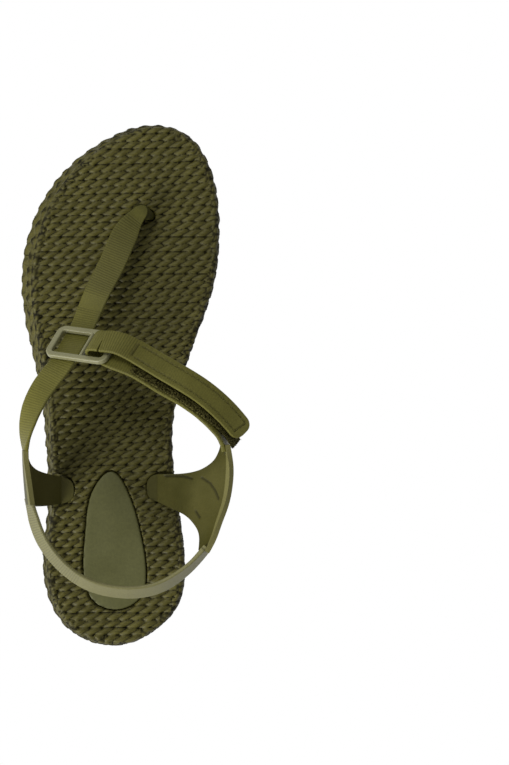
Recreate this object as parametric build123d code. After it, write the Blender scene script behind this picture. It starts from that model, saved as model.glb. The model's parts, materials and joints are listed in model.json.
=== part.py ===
"""A strappy sandal for the left foot: moulded sole, two rubber wings, ribbed straps, a buckle
and a hook-and-loop flap. Millimetres, +X medial, +Y toe, +Z up, origin under the sole's centre."""

import os
from math import cos, hypot, radians, sin

from build123d import *

# Sole
OUTSOLE_THICKNESS = 4.0
OUTSOLE_INSET = 1.2
TREAD_ROWS = 13
TREAD_PITCH = 9.0
TREAD_WIDTH = 2.2
TREAD_DEPTH = 1.2
HEEL_TOP = 24.0
FOREFOOT_TOP = 16.0
WIDEST_LEVEL = 9.0
LATERAL_FLARE_TOE = 5.0
LATERAL_FLARE_HEEL = 2.2
END_FLARE = 1.2
FOOT_INSET = 0.8
HALF_LENGTH = 128.0
FULL_FLARE_AT = 62.0
MEDIAL_EDGE = 41.0
SOLE_WIDTH = 97.0

# Heel insert
INSERT_THICKNESS = 2.0
INSERT_GAP = 0.9
INSERT_SUNK = 0.3

# Straps
STRAP_WIDTH = 13.0
STRAP_THICKNESS = 1.6
HEEL_STRAP_THICKNESS = 1.8
ARM_LOW = 51.5
ARM_HIGH = 64.5
ARM_MIDDLE = (ARM_LOW + ARM_HIGH) / 2
BOND_GAP = 0.08
UNDER_BUCKLE_GAP = 0.4

# Toe post
POST_LENGTH = 7.2
POST_WIDTH = 5.0
POST_CLEARANCE = 0.5
POST_TOP = 24.0
POST_TURN = -35.0
FLANGE_DIAMETER = 15.0
FLANGE_THICKNESS = 3.0
FLANGE_CLEARANCE = 0.3

# Wings
WING_THICKNESS = 2.4
TONGUE_TOP = 24.2
TONGUE_CLEARANCE = 0.4
SHANK_DIAMETER = 8.0

# Buckle, in its own plane: u runs to the medial side, v to the toe
BUCKLE_LENGTH = 34.0
BUCKLE_HEIGHT = 20.0
BUCKLE_RAIL = 3.0
BUCKLE_BAR = 1.6
BUCKLE_BAR_AT = 2.4
BUCKLE_THICKNESS = 2.6
BUCKLE_CORNER = 4.5
BUCKLE_ROUNDING = 0.7
BUCKLE_CENTRE = Vector(-24.1, 18.7, 49.0)
BUCKLE_U = Vector(0.884, -0.124, 0.450)
BUCKLE_V = Vector(0.391, 0.723, -0.569)
BUCKLE_PLANE = Plane(BUCKLE_CENTRE, x_dir=BUCKLE_U, z_dir=BUCKLE_U.cross(BUCKLE_V))

# Fold of the instep strap round the buckle's outer rail
FOLD_AT = 9.4
FOLD_UNDER = 2.5
FOLD_OVER = 4.5

# Tapes and thread
TAPE_WIDTH = 10.6
LOOP_TAPE_THICKNESS = 1.1
HOOK_TAPE_THICKNESS = 0.9
THREAD = 0.5
STITCH_LENGTH = 2.1
STITCH_PITCH = 3.0
STITCH_EDGE = 2.8
STITCH_LIFT = 0.16
STITCH_HEIGHT = 0.7 * THREAD
FLAP_CORNER = 4.5

SOLE_OUTLINE = [
    (9, 127.2), (26, 121.5), (35.5, 108), (40.6, 78), (37.3, 47), (30, 26), (22, 3),
    (17.3, -20), (17.5, -38), (20.5, -62), (23.5, -88), (20, -109), (10, -120), (-5, -127.6),
    (-21, -126.8), (-35, -118.5), (-43.5, -103), (-45.6, -85), (-43.5, -62), (-44.2, -30),
    (-47.5, 0), (-54, 30), (-56, 52), (-50.5, 80), (-38, 101.5), (-16, 119.5),
]
FOOTBED_PROFILE = [(-48, HEEL_TOP), (-20, 21.9), (15, 18.4), (45, FOREFOOT_TOP)]
INSERT_OUTLINE = [
    (-12, -42.8), (-3, -54), (2.5, -72), (5.4, -92), (3, -103.5), (-9, -110),
    (-20, -106), (-25, -92), (-24, -70), (-19.5, -50),
]
MEDIAL_TONGUE = [(5.6, -50.5), (8, -45), (13, -43), (16, -44.5), (16, -56.5), (13, -58), (8, -56)]
LATERAL_TONGUE = [(-29.6, -52), (-33.5, -58), (-40, -58.6), (-40, -45.4), (-36, -44.3), (-31, -46.5)]
TOE_HOLE = Vector(6.0, 83.0, 0.0)
MEDIAL_SHANK = Vector(10.3, -50.5, 0.0)
LATERAL_SHANK = Vector(-34.4, -51.8, 0.0)


# ---------------------------------------------------------------- helpers
def closed_face(points):
    """The flat face inside a smooth closed line."""
    return make_face(Spline(*points, periodic=True))


def grown(points, gap):
    """The points of a clockwise outline, moved outward by the gap."""
    moved = []
    for i, (x, y) in enumerate(points):
        x0, y0 = points[i - 1]
        x1, y1 = points[(i + 1) % len(points)]
        length = hypot(x1 - x0, y1 - y0)
        moved.append((x - gap * (y1 - y0) / length, y + gap * (x1 - x0) / length))
    return moved


def between(stations, values, t):
    """Linear interpolation of values given at rising stations."""
    for (t0, t1), (v0, v1) in zip(zip(stations, stations[1:]), zip(values, values[1:])):
        if t <= t1:
            return v0 + (v1 - v0) * max(0.0, t - t0) / (t1 - t0)
    return values[-1]


def strap_frames(route, count):
    """Planes along a strap's middle line, x across the strap and z along it.

    The route lists (x, y, z, roll); roll turns the strap about its line, in degrees."""
    points = [Vector(*stop[:3]) for stop in route]
    line = Spline(*points)
    along = [0.0]
    for first, second in zip(points, points[1:]):
        along.append(along[-1] + (second - first).length)
    along = [distance / along[-1] for distance in along]
    rolls = [stop[3] for stop in route]
    frames = []
    for i in range(count):
        t = i / (count - 1)
        tangent = line.tangent_at(t)
        level = Vector(0, 0, 1).cross(tangent).normalized()
        across = level.rotate(Axis((0, 0, 0), tangent), between(along, rolls, t))
        frames.append(Plane(line.position_at(t), x_dir=across, z_dir=tangent))
    return frames


def shifted(frame, across, up):
    return Plane(frame.origin + frame.x_dir * across + frame.y_dir * up, frame.x_dir, frame.z_dir)


def band(frames, width, thickness):
    """A flat strip lofted through the frames."""
    return loft([frame * Rectangle(width, thickness) for frame in frames])


def rounded_end(solid, frame, radius, forward):
    """Cuts a strip's end to a half round whose centre is the frame's origin."""
    face_plane = Plane(frame.origin, x_dir=frame.x_dir, z_dir=frame.y_dir)
    reach = 2 * radius
    toward = 1 if (face_plane.y_dir.dot(frame.z_dir) > 0) == forward else -1
    waste = Pos(0, toward * reach / 2) * Rectangle(2 * reach, reach) - Circle(radius)
    return solid - extrude(face_plane * waste, 6, both=True)


# ---------------------------------------------------------------- sole
def sole_face(level, inset):
    """The sole's outline at a level, pulled in evenly by the inset."""
    return Pos(0, 0, level) * closed_face(grown(SOLE_OUTLINE, -inset))


def top_outline():
    """The footbed's upper edge: the wall leans in on the lateral side."""
    points = []
    for x, y in SOLE_OUTLINE:
        share = (y + HALF_LENGTH) / (FULL_FLARE_AT + HALF_LENGTH)
        flare = LATERAL_FLARE_HEEL + (LATERAL_FLARE_TOE - LATERAL_FLARE_HEEL) * min(1, share)
        lean = flare * (MEDIAL_EDGE - x) / SOLE_WIDTH
        points.append((x + lean, y * (1 - END_FLARE / HALF_LENGTH)))
    return points


def footbed_blank():
    low = sole_face(OUTSOLE_THICKNESS, FOOT_INSET)
    wide = sole_face(WIDEST_LEVEL, 0)
    high = Pos(0, 0, HEEL_TOP + 2) * closed_face(top_outline())
    lower = loft([low, wide], ruled=True)
    upper = loft([wide, high], ruled=True)
    start, *rest = FOOTBED_PROFILE
    end = rest[-1]
    top_line = Spline((start[0], start[1]), *rest, tangents=((1, 0), (1, 0)))
    rim = Polyline((end[0], end[1]), (140, end[1]), (140, 40), (-140, 40), (-140, start[1]), start)
    side = Plane.YZ * make_face([top_line, rim])
    return lower + upper - extrude(side, 80, both=True)


def prism(points, gap, low, high):
    """A smooth clockwise outline grown by a gap and raised between two levels."""
    return extrude(Pos(0, 0, low) * closed_face(grown(points, gap)), high - low)


def anchor_pocket(at, diameter):
    hole = Pos(at.X, at.Y, 15) * Cylinder(diameter / 2, 30)
    width = FLANGE_DIAMETER + 2 * FLANGE_CLEARANCE
    depth = FLANGE_THICKNESS + FLANGE_CLEARANCE
    return hole + Pos(at.X, at.Y, OUTSOLE_THICKNESS + depth / 2) * Cylinder(width / 2, depth)


def toe_pocket():
    opening = Ellipse(POST_LENGTH / 2 + POST_CLEARANCE, POST_WIDTH / 2 + POST_CLEARANCE)
    hole = extrude(Pos(TOE_HOLE.X, TOE_HOLE.Y, OUTSOLE_THICKNESS) * Rot(0, 0, POST_TURN) * opening, 30)
    width = FLANGE_DIAMETER + 2 * FLANGE_CLEARANCE
    depth = FLANGE_THICKNESS + FLANGE_CLEARANCE
    cavity = Pos(TOE_HOLE.X, TOE_HOLE.Y, OUTSOLE_THICKNESS + depth / 2) * Cylinder(width / 2, depth)
    return hole + cavity


def footbed():
    body = footbed_blank()
    floor = HEEL_TOP - INSERT_SUNK - INSERT_THICKNESS
    body -= prism(INSERT_OUTLINE, INSERT_GAP, floor, HEEL_TOP + 5)
    tongue_floor = TONGUE_TOP - WING_THICKNESS
    for outline in (MEDIAL_TONGUE, LATERAL_TONGUE):
        body -= prism(outline, TONGUE_CLEARANCE, tongue_floor, HEEL_TOP + 5)
    for at in (MEDIAL_SHANK, LATERAL_SHANK):
        body -= anchor_pocket(at, SHANK_DIAMETER + 2 * FLANGE_CLEARANCE)
    return body - toe_pocket()


def heel_insert():
    return prism(INSERT_OUTLINE, 0, HEEL_TOP - INSERT_SUNK - INSERT_THICKNESS, HEEL_TOP - INSERT_SUNK)


def outsole():
    sheet = extrude(sole_face(0, OUTSOLE_INSET), OUTSOLE_THICKNESS)
    for row in range(-TREAD_ROWS, TREAD_ROWS):
        sheet -= Pos(0, (row + 0.5) * TREAD_PITCH, 0) * Box(150, TREAD_WIDTH, 2 * TREAD_DEPTH)
    return sheet


# ---------------------------------------------------------------- wings
def anchor(at, top, shank):
    """The plug moulded under a strap's root: a shank and a flange below the footbed."""
    stem = extrude(Pos(at.X, at.Y, OUTSOLE_THICKNESS) * shank, top - OUTSOLE_THICKNESS)
    level = OUTSOLE_THICKNESS + FLANGE_THICKNESS / 2
    return stem + Pos(at.X, at.Y, level) * Cylinder(FLANGE_DIAMETER / 2, FLANGE_THICKNESS)


def closed_corner_face(pieces):
    """A face from pieces, each a list of points: two make a line and more make a curve."""
    edges = [Line(*p) if len(p) == 2 else Spline(*p) for p in pieces]
    return make_face(edges)


def wall(levels, rows, outline):
    """A curved sheet through rows of (y, x at each level), cut to its outline in side view."""
    grid = [[Vector(x, y, z) for x, z in zip(xs, levels)] for y, xs in rows]
    sheet = Face.make_surface_from_array_of_points(grid, tol=0.05, min_deg=3, max_deg=5)
    slab = thicken(sheet, WING_THICKNESS / 2, both=True)
    side = Plane.YZ * closed_corner_face(outline)
    return slab & extrude(side, 80, both=True)


def medial_wing():
    levels = [23.2, 31, 41, 51, 58, 65.5]
    rows = [
        (-24, [11.5, 21, 33, 43.4, 44.2, 44.8]),
        (-33, [11.5, 20, 31, 41.6, 44.6, 46.7]),
        (-40, [11.5, 19, 29, 38.3, 43.4, 48.1]),
        (-48, [11.5, 19, 28, 37.0, 42.6, 47.8]),
        (-58, [11.5, 18.5, 27.5, 35.8, 41.0, 45.6]),
        (-66, [11.5, 18, 26.5, 34.0, 38.8, 42.4]),
        (-74, [11.5, 18, 26, 32.9, 36.8, 39.2]),
        (-82, [11.5, 17, 24.5, 31.6, 33.6, 34.6]),
    ]
    front = [(-44.0, 22.5), (-43.4, 38), (-41.5, 47), (-37, ARM_LOW), (-28.8, ARM_LOW)]
    rear = [(-79.5, ARM_LOW), (-71, 49.3), (-63.8, 41), (-60.2, 31), (-57.4, 22.5)]
    outline = [
        front,
        [(-28.8, ARM_LOW), (-28.8, ARM_HIGH)],
        [(-28.8, ARM_HIGH), (-79.5, ARM_HIGH)],
        [(-79.5, ARM_HIGH), (-79.5, ARM_LOW)],
        rear,
        [(-57.4, 22.5), (-44.0, 22.5)],
    ]
    tongue = prism(MEDIAL_TONGUE, 0, TONGUE_TOP - WING_THICKNESS, TONGUE_TOP)
    shank = anchor(MEDIAL_SHANK, TONGUE_TOP - 1, Circle(SHANK_DIAMETER / 2))
    return wall(levels, rows, outline) + tongue + shank


def lateral_wing():
    levels = [23.2, 31, 40, 49, 57, 65.5]
    rows = [
        (-26, [-36.5, -43.5, -48.6, -51.3, -51.5, -50.4]),
        (-36, [-36.5, -43.2, -48.3, -51.0, -51.4, -49.9]),
        (-46, [-36.5, -42.9, -47.8, -50.5, -50.8, -48.4]),
        (-54, [-36.5, -42.6, -47.2, -49.8, -50.1, -47.2]),
        (-62, [-36.5, -42.2, -46.5, -49.0, -49.3, -46.0]),
    ]
    front = [(-45.4, 22.5), (-43.6, 31), (-41.5, 40), (-38.5, 46.5), (-35, 50.5), (-31.6, ARM_LOW)]
    outline = [
        front,
        [(-31.6, ARM_LOW), (-31.6, ARM_HIGH)],
        [(-31.6, ARM_HIGH), (-57.4, ARM_HIGH)],
        [(-57.4, ARM_HIGH), (-57.4, ARM_LOW)],
        [(-57.4, ARM_LOW), (-58.8, 44), (-59.4, 34), (-58.4, 22.5)],
        [(-58.4, 22.5), (-45.4, 22.5)],
    ]
    tongue = prism(LATERAL_TONGUE, 0, TONGUE_TOP - WING_THICKNESS, TONGUE_TOP)
    shank = anchor(LATERAL_SHANK, TONGUE_TOP - 1, Circle(SHANK_DIAMETER / 2))
    return wall(levels, rows, outline) + tongue + shank


# ---------------------------------------------------------------- straps
def on_buckle(u, v, n):
    """A point given in the buckle's own plane: u medial, v to the toe, n outward."""
    return BUCKLE_PLANE.from_local_coords(Vector(u, v, n))


def fold_frames(radius, start, end, v_start, v_end, count):
    """Frames round the fold, at angles in the buckle's u-n plane."""
    frames = []
    for i in range(count):
        share = i / (count - 1)
        angle = radians(start + (end - start) * share)
        side = 1 if end > start else -1
        v = v_start + (v_end - v_start) * share
        point = on_buckle(FOLD_AT + radius * cos(angle), v, radius * sin(angle))
        ahead = BUCKLE_U * (-sin(angle) * side) + BUCKLE_PLANE.z_dir * (cos(angle) * side)
        frames.append(Plane(point, x_dir=BUCKLE_V, z_dir=ahead))
    return frames


def stop(point, roll):
    return (point.X, point.Y, point.Z, roll)


def front_route():
    under = -(BUCKLE_THICKNESS / 2 + UNDER_BUCKLE_GAP + STRAP_THICKNESS / 2)
    return [
        (3.9, 84.9, 24.2, 0),
        (-1.5, 78.6, 24.7, 0),
        (-5.2, 72.0, 25.4, 2),
        (-10.6, 59.3, 27.2, 8),
        (-18.0, 44.3, 31.0, 18),
        stop(on_buckle(-7.3, 10, under), 33),
        stop(on_buckle(-7.3, 0, under), 33),
        stop(on_buckle(-7.3, -10, under), 33),
        (-42.2, -0.8, 54.6, 32),
        (-47.8, -11.5, 57.2, 41),
        (-50.0, -18.8, 58.0, 53),
        (-51.0, -24.8, 58.1, 66),
        (-51.0, -31.6 + BOND_GAP, ARM_MIDDLE, 82),
    ]


def instep_route():
    return [
        stop(on_buckle(FOLD_AT + 2, -0.7, -FOLD_UNDER - 0.1), -27),
        stop(on_buckle(17.5, -2.6, -FOLD_UNDER - 0.4), -31),
        (0.5, 9.0, 59.6, -32),
        (14.9, 0.8, 61.0, -28),
        (29.1, -7.8, 60.7, -30),
        (36.1, -14.1, 60.0, -42),
        (40.6, -20.0, 59.2, -57),
        (43.1, -24.8, 58.4, -70),
        (44.0, -28.0, ARM_MIDDLE, -80),
    ]


def flap_route():
    return [
        stop(on_buckle(FOLD_AT + 3, 0.25, FOLD_OVER), -39.6),
        stop(on_buckle(18.5, 0.9, FOLD_OVER - 0.4), -36),
        (3.4, 14.6, 61.8, -31),
        (18.0, 6.0, 63.3, -28),
        (32.4, -2.8, 62.9, -28),
        (42.3, -11.0, 61.4, -28),
        (48.2, -17.2, 60.0, -30),
        (53.4, -23.6, 58.4, -32),
    ]


def heel_route():
    return [
        (-47.1, -64.4, 58.0, 66),
        (-43.4, -74.0, 58.0, 66),
        (-37.0, -83.3, 58.0, 66),
        (-29.0, -90.8, 58.0, 66),
        (-20.0, -96.0, 58.0, 65),
        (-8.0, -99.0, 58.0, 65),
        (3.0, -99.2, 58.0, 65),
        (14.0, -96.4, 58.0, 67),
        (23.0, -91.0, 58.0, 73),
        (29.2, -85.6, 58.0, 84),
    ]


def front_strap():
    frames = strap_frames(front_route(), 26)
    widths = [7.0, 10.2, 12.6] + [STRAP_WIDTH] * (len(frames) - 3)
    sections = [f * Rectangle(w, STRAP_THICKNESS) for f, w in zip(frames, widths)]
    post = Rot(0, 0, POST_TURN) * Ellipse(POST_LENGTH / 2, POST_WIDTH / 2)
    levels = [(OUTSOLE_THICKNESS, 0.0), (FOREFOOT_TOP, 0.0), (POST_TOP, 1.0)]
    lean = frames[0].origin - TOE_HOLE
    stem = [Pos(TOE_HOLE.X + lean.X * s, TOE_HOLE.Y + lean.Y * s, z) * post for z, s in levels]
    level = OUTSOLE_THICKNESS + FLANGE_THICKNESS / 2
    flange = Pos(TOE_HOLE.X, TOE_HOLE.Y, level) * Cylinder(FLANGE_DIAMETER / 2, FLANGE_THICKNESS)
    return loft(sections) + loft(stem, ruled=True) + flange


def instep_frames():
    bend = fold_frames(FOLD_UNDER, 180, 270, -0.1, -0.3, 5)
    return bend + strap_frames(instep_route(), 20)


def instep_strap():
    return band(instep_frames(), STRAP_WIDTH, STRAP_THICKNESS)


def flap_frames():
    bend = fold_frames(FOLD_OVER, 180, 90, 0.0, 0.15, 5)
    return bend + strap_frames(flap_route(), 20)


def round_corners(solid, frame, radius):
    """Rounds the two corners of a strip that ends at the frame."""
    face_plane = Plane(frame.origin, x_dir=frame.x_dir, z_dir=frame.y_dir)
    toward = 1 if face_plane.y_dir.dot(frame.z_dir) > 0 else -1
    keep = Pos(0, -toward * STRAP_WIDTH) * RectangleRounded(STRAP_WIDTH, 2 * STRAP_WIDTH, radius)
    waste = Pos(0, -toward * radius / 2) * Rectangle(STRAP_WIDTH + 4, 1.2 * radius) - keep
    return solid - extrude(face_plane * waste, 5, both=True)


def instep_flap():
    frames = flap_frames()
    return round_corners(band(frames, STRAP_WIDTH, STRAP_THICKNESS), frames[-1], FLAP_CORNER)


def heel_strap():
    frames = strap_frames(heel_route(), 22)
    radius = STRAP_WIDTH / 2
    first, last = frames[0], frames[-1]
    before = Plane(first.origin - first.z_dir * (radius + 1), first.x_dir, first.z_dir)
    after = Plane(last.origin + last.z_dir * (radius + 1), last.x_dir, last.z_dir)
    strip = band([before] + frames + [after], STRAP_WIDTH, HEEL_STRAP_THICKNESS)
    return rounded_end(rounded_end(strip, first, radius, False), last, radius, True)


# ---------------------------------------------------------------- buckle, tapes and thread
def buckle_frame():
    plate = RectangleRounded(BUCKLE_LENGTH, BUCKLE_HEIGHT, BUCKLE_CORNER)
    inner = BUCKLE_CORNER - BUCKLE_RAIL
    window = (BUCKLE_LENGTH - 2 * BUCKLE_RAIL, BUCKLE_HEIGHT - 2 * BUCKLE_RAIL)
    outline = plate - RectangleRounded(*window, inner)
    outline += Pos(BUCKLE_BAR_AT, 0) * Rectangle(BUCKLE_BAR, window[1] + 1)
    solid = extrude(BUCKLE_PLANE * outline, BUCKLE_THICKNESS / 2, both=True)
    faces = [BUCKLE_PLANE.offset(side * BUCKLE_THICKNESS / 2) for side in (1, -1)]
    rims = [e for e in solid.edges() if any(abs(f.to_local_coords(e.center()).Z) < 0.01 for f in faces)]
    return fillet(rims, BUCKLE_ROUNDING)


def loop_tape():
    up = (STRAP_THICKNESS + LOOP_TAPE_THICKNESS) / 2 + BOND_GAP
    glued = [shifted(f, 0, up) for f in strap_frames(instep_route(), 40)[9:24]]
    free_end = [
        stop(glued[-1].origin, -31),
        (36.9, -13.3, 61.4, -39),
        (42.9, -18.9, 59.4, -50),
        (47.1, -24.3, 58.4, -57),
        (49.6, -28.7, 57.4, -62),
    ]
    return band(glued + strap_frames(free_end, 10)[2:], TAPE_WIDTH, LOOP_TAPE_THICKNESS)


def hook_tape():
    down = -(STRAP_THICKNESS + HOOK_TAPE_THICKNESS) / 2 - BOND_GAP
    frames = [shifted(f, 0, down) for f in strap_frames(flap_route(), 40)[11:38]]
    return band(frames, TAPE_WIDTH, HOOK_TAPE_THICKNESS)


def stitch(frame, across, up, turn=0.0):
    """One short stitch lying on a strap, turned about the strap's normal."""
    at = frame.origin + frame.x_dir * across + frame.y_dir * up
    seat = Plane(at, x_dir=frame.x_dir, z_dir=frame.y_dir)
    return seat * Rot(0, 0, turn) * Box(THREAD, STITCH_LENGTH, STITCH_HEIGHT)


def stitch_row(route, start, end, across, up):
    """Evenly spaced stitches between two shares of a strap's length."""
    frames = strap_frames(route, 401)
    length = sum((b.origin - a.origin).length for a, b in zip(frames, frames[1:]))
    count = round(length * (end - start) / STITCH_PITCH)
    picks = [round(400 * (start + (end - start) * i / count)) for i in range(count + 1)]
    return [stitch(frames[i], across, up) for i in picks]


def flap_stitching():
    up = STRAP_THICKNESS / 2 + STITCH_HEIGHT / 2 + STITCH_LIFT
    side = STRAP_WIDTH / 2 - STITCH_EDGE
    rows = stitch_row(flap_route(), 0.24, 0.93, side, up)
    rows += stitch_row(flap_route(), 0.24, 0.89, -side, up)
    frames = strap_frames(flap_route(), 101)
    rows += [stitch(frames[93 - i], side - 2.6 * (i + 0.75), up, 70) for i in range(3)]
    return Compound(rows)


def bar_tack():
    up = STRAP_THICKNESS / 2 + STITCH_HEIGHT / 2 + STITCH_LIFT
    frame = strap_frames(flap_route(), 101)[20]
    side = STRAP_WIDTH / 2 - STITCH_EDGE
    places = [side - 2 * side * i / 6 for i in range(7)]
    return Compound([stitch(frame, across, up, 12) for across in places])


def loop_stitching():
    up = STRAP_THICKNESS / 2 + STITCH_HEIGHT / 2 + STITCH_LIFT
    return Compound(stitch_row(instep_route(), 0.22, 0.9, -(STRAP_WIDTH / 2 - 0.7), up))


NODES = [
    outsole, footbed, heel_insert, medial_wing, lateral_wing, front_strap, buckle_frame,
    instep_strap, loop_tape, loop_stitching, instep_flap, hook_tape, flap_stitching, bar_tack,
    heel_strap,
]

if __name__ == "__main__":
    os.makedirs("parts", exist_ok=True)
    for make in NODES:
        export_step(make(), f"parts/{make.__name__}.step")
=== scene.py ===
import json
from math import cos, pi, radians, sin

import bmesh
import bpy
import numpy as np
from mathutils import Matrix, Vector, noise
from mathutils.kdtree import KDTree

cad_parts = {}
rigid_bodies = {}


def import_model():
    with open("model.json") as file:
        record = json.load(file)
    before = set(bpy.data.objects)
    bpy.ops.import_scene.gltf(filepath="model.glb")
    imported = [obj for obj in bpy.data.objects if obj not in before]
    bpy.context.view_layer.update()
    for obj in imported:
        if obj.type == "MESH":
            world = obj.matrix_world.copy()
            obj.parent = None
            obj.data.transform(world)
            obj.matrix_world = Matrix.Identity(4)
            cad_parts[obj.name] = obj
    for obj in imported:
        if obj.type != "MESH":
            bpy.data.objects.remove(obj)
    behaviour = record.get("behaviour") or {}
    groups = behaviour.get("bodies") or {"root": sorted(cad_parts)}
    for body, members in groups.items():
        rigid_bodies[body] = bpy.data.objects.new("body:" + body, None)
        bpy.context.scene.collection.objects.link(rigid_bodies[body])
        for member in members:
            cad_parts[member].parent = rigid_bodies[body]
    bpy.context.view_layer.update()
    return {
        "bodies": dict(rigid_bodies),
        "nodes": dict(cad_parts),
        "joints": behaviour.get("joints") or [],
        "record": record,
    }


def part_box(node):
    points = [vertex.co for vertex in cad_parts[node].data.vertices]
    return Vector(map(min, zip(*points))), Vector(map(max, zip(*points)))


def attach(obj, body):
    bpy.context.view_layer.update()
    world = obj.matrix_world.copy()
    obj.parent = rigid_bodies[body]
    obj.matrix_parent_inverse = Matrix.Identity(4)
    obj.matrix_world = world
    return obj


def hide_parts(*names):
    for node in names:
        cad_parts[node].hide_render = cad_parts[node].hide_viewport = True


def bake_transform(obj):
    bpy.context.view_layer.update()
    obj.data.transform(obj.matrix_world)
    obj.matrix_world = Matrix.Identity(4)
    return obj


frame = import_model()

# Lengths are in millimetres until a mesh is made: MM turns them into metres.
MM = 0.001
RNG = np.random.default_rng(7)

# Sole
OUTSOLE_TOP = round(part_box("outsole")[1].z / MM, 3)
HEEL_TOP = round(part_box("footbed")[1].z / MM, 3)
FOREFOOT_TOP = 16.0
WIDEST_LEVEL = 9.0
HALF_LENGTH = 128.0
FLARE_TOE = 5.0
FLARE_HEEL = 2.2
END_FLARE = 1.2
SOLE_OUTLINE = [
    (9, 127.2), (26, 121.5), (35.5, 108), (40.6, 78), (37.3, 47), (30, 26), (22, 3),
    (17.3, -20), (17.5, -38), (20.5, -62), (23.5, -88), (20, -109), (10, -120), (-5, -127.6),
    (-21, -126.8), (-35, -118.5), (-43.5, -103), (-45.6, -85), (-43.5, -62), (-44.2, -30),
    (-47.5, 0), (-54, 30), (-56, 52), (-50.5, 80), (-38, 101.5), (-16, 119.5),
]
INSERT_OUTLINE = [
    (-12, -42.8), (-3, -54), (2.5, -72), (5.4, -92), (3, -103.5), (-9, -110),
    (-20, -106), (-25, -92), (-24, -70), (-19.5, -50),
]
INSERT_GAP = 0.95
RECESS_DEPTH = 2.6
TONGUE_DEPTH = 2.9
HOLE_DEPTH = 6.0
SNAP_REACH = 0.33  # grid points this near a recess's outline are moved onto it
WALL_RINGS = 30
RIM_ROPE_IN = 2.0  # from the rim to the middle of the rope that runs round it
FOOT_GROWTH = -0.8
WALL_LUMP = 0.6
EDGE_DROP = 1.1

# Rope relief
ROW_PITCH = 3.6
TWIST = 11.8
STRAND_OFFSET = 0.62
STRAND_SWING = 0.82
STRAND_RADIUS = 1.72
ROPE_FLOOR = 0.55
CREASE_WIDTH = 0.34
CREASE_DEPTH = 0.3
CREST_LEVEL = 0.75
SIDE_PITCH = 4.1
SIDE_TWIST = 15.0
SIDE_OFFSET = 0.7
SIDE_RADIUS = 1.75
LINE_WANDER = 0.4
SMALL_WANDER = 0.12
TWIST_WANDER = 0.35
PHASE_JITTER = 0.45
TURNS_IN = {"lateral": 0.95, "medial": 0.9}  # row pitches from the rim to where a row turns back
TURNS_AT = {"lateral": -40, "medial": 25}  # about the x of those turns
TURN_SWING = 0.7
TURN_REACH = 1.02
TIER_SHIFT = 0.37  # of a twist, from one rope of the wall to the next
LUMP_MEAN = 1.5
GRID_X = 0.67
GRID_Y = 0.52

# Straps
STRAP_WIDTH = 13.0
STRAP_THICKNESS = 1.6
RIB_PITCH = 1.2
RIB_HEIGHT = 0.2

# Buckle plane, as in the CAD model
BUCKLE_CENTRE = np.array([-24.1, 18.7, 49.0])
BUCKLE_U = np.array([0.884, -0.124, 0.450])
BUCKLE_V = np.array([0.391, 0.723, -0.569])
BUCKLE_N = np.cross(BUCKLE_U, BUCKLE_V)
BUCKLE_HALF = 1.3
BUCKLE_GAP = 0.4
FOLD_AT = 9.4
FOLD_UNDER = 2.5
FOLD_OVER = 4.5
FOLD_STEPS = 90

# Wings and tapes
WING_THICKNESS = 2.4
TONGUE_LEVEL = 23.0
WING_STRIP = (62.0, 62.6)  # where the lighter strip along a wing's top begins
WING_ACROSS = 41
STAGE_ROWS = 22
FINE_LEVELS = 120
FINE_STATIONS = 160
EDGE_PASSES = 12
TAPE_WIDTH = 10.4
TAPE_GAP = 0.08

# Thread
THREAD_SIDES = 8
THREAD_RINGS = 9
STITCH_PITCH = 3.0
STITCH_STOPS = 801
ON_RIBS = 0.86  # from a strap's middle to its stitches


# ---------------------------------------------------------------- curves
def natural_spline(knots, values, at):
    """A natural cubic spline through values at rising knots, and its slope, at the given places."""
    knots, values, at = np.asarray(knots, float), np.asarray(values, float), np.asarray(at, float)
    n = len(knots)
    h = np.diff(knots)
    system = np.eye(n)
    right = np.zeros((n,) + values.shape[1:])
    rise = np.diff(values, axis=0) / h.reshape((-1,) + (1,) * (values.ndim - 1))
    for i in range(1, n - 1):
        system[i, i - 1: i + 2] = h[i - 1], 2 * (h[i - 1] + h[i]), h[i]
        right[i] = 6 * (rise[i] - rise[i - 1])
    curve = np.linalg.solve(system, right.reshape(n, -1)).reshape(right.shape)
    i = np.clip(np.searchsorted(knots, at) - 1, 0, n - 2)
    shape = (-1,) + (1,) * (values.ndim - 1)
    step = h[i].reshape(shape)
    a = ((knots[i + 1] - at)).reshape(shape) / step
    b = 1 - a
    place = a * values[i] + b * values[i + 1]
    place += ((a ** 3 - a) * curve[i] + (b ** 3 - b) * curve[i + 1]) * step ** 2 / 6
    slope = (values[i + 1] - values[i]) / step
    slope += ((3 * b ** 2 - 1) * curve[i + 1] - (3 * a ** 2 - 1) * curve[i]) * step / 6
    return place, slope


def chord_knots(points):
    steps = np.linalg.norm(np.diff(points, axis=0), axis=1)
    return np.concatenate([[0], np.cumsum(steps)])


def closed_curve(points, count):
    """A smooth closed line through the points, at even shares of its chord length."""
    points = np.asarray(points, float)
    around = np.vstack([points[-5:], points, points[:6]])
    knots = chord_knots(around)
    start, end = knots[5], knots[5 + len(points)]
    at = start + (end - start) * np.arange(count) / count
    return natural_spline(knots, around, at)[0]


def unit(vectors):
    return vectors / np.linalg.norm(vectors, axis=-1, keepdims=True)


def smoothstep(low, high, x):
    t = np.clip((x - low) / (high - low), 0, 1)
    return t * t * (3 - 2 * t)


def wander(x, y, reach, seed):
    """Smooth seeded unevenness between about -1 and 1, with features of about the reach."""
    rng = np.random.default_rng(seed)
    total = np.zeros(np.broadcast(x, y).shape)
    for _ in range(7):
        angle, phase = rng.uniform(0, 2 * pi, 2)
        pace = 2 * pi / (reach * rng.uniform(0.6, 1.6))
        total = total + np.sin(pace * (x * cos(angle) + y * sin(angle)) + phase)
    return total / 3.2


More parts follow.
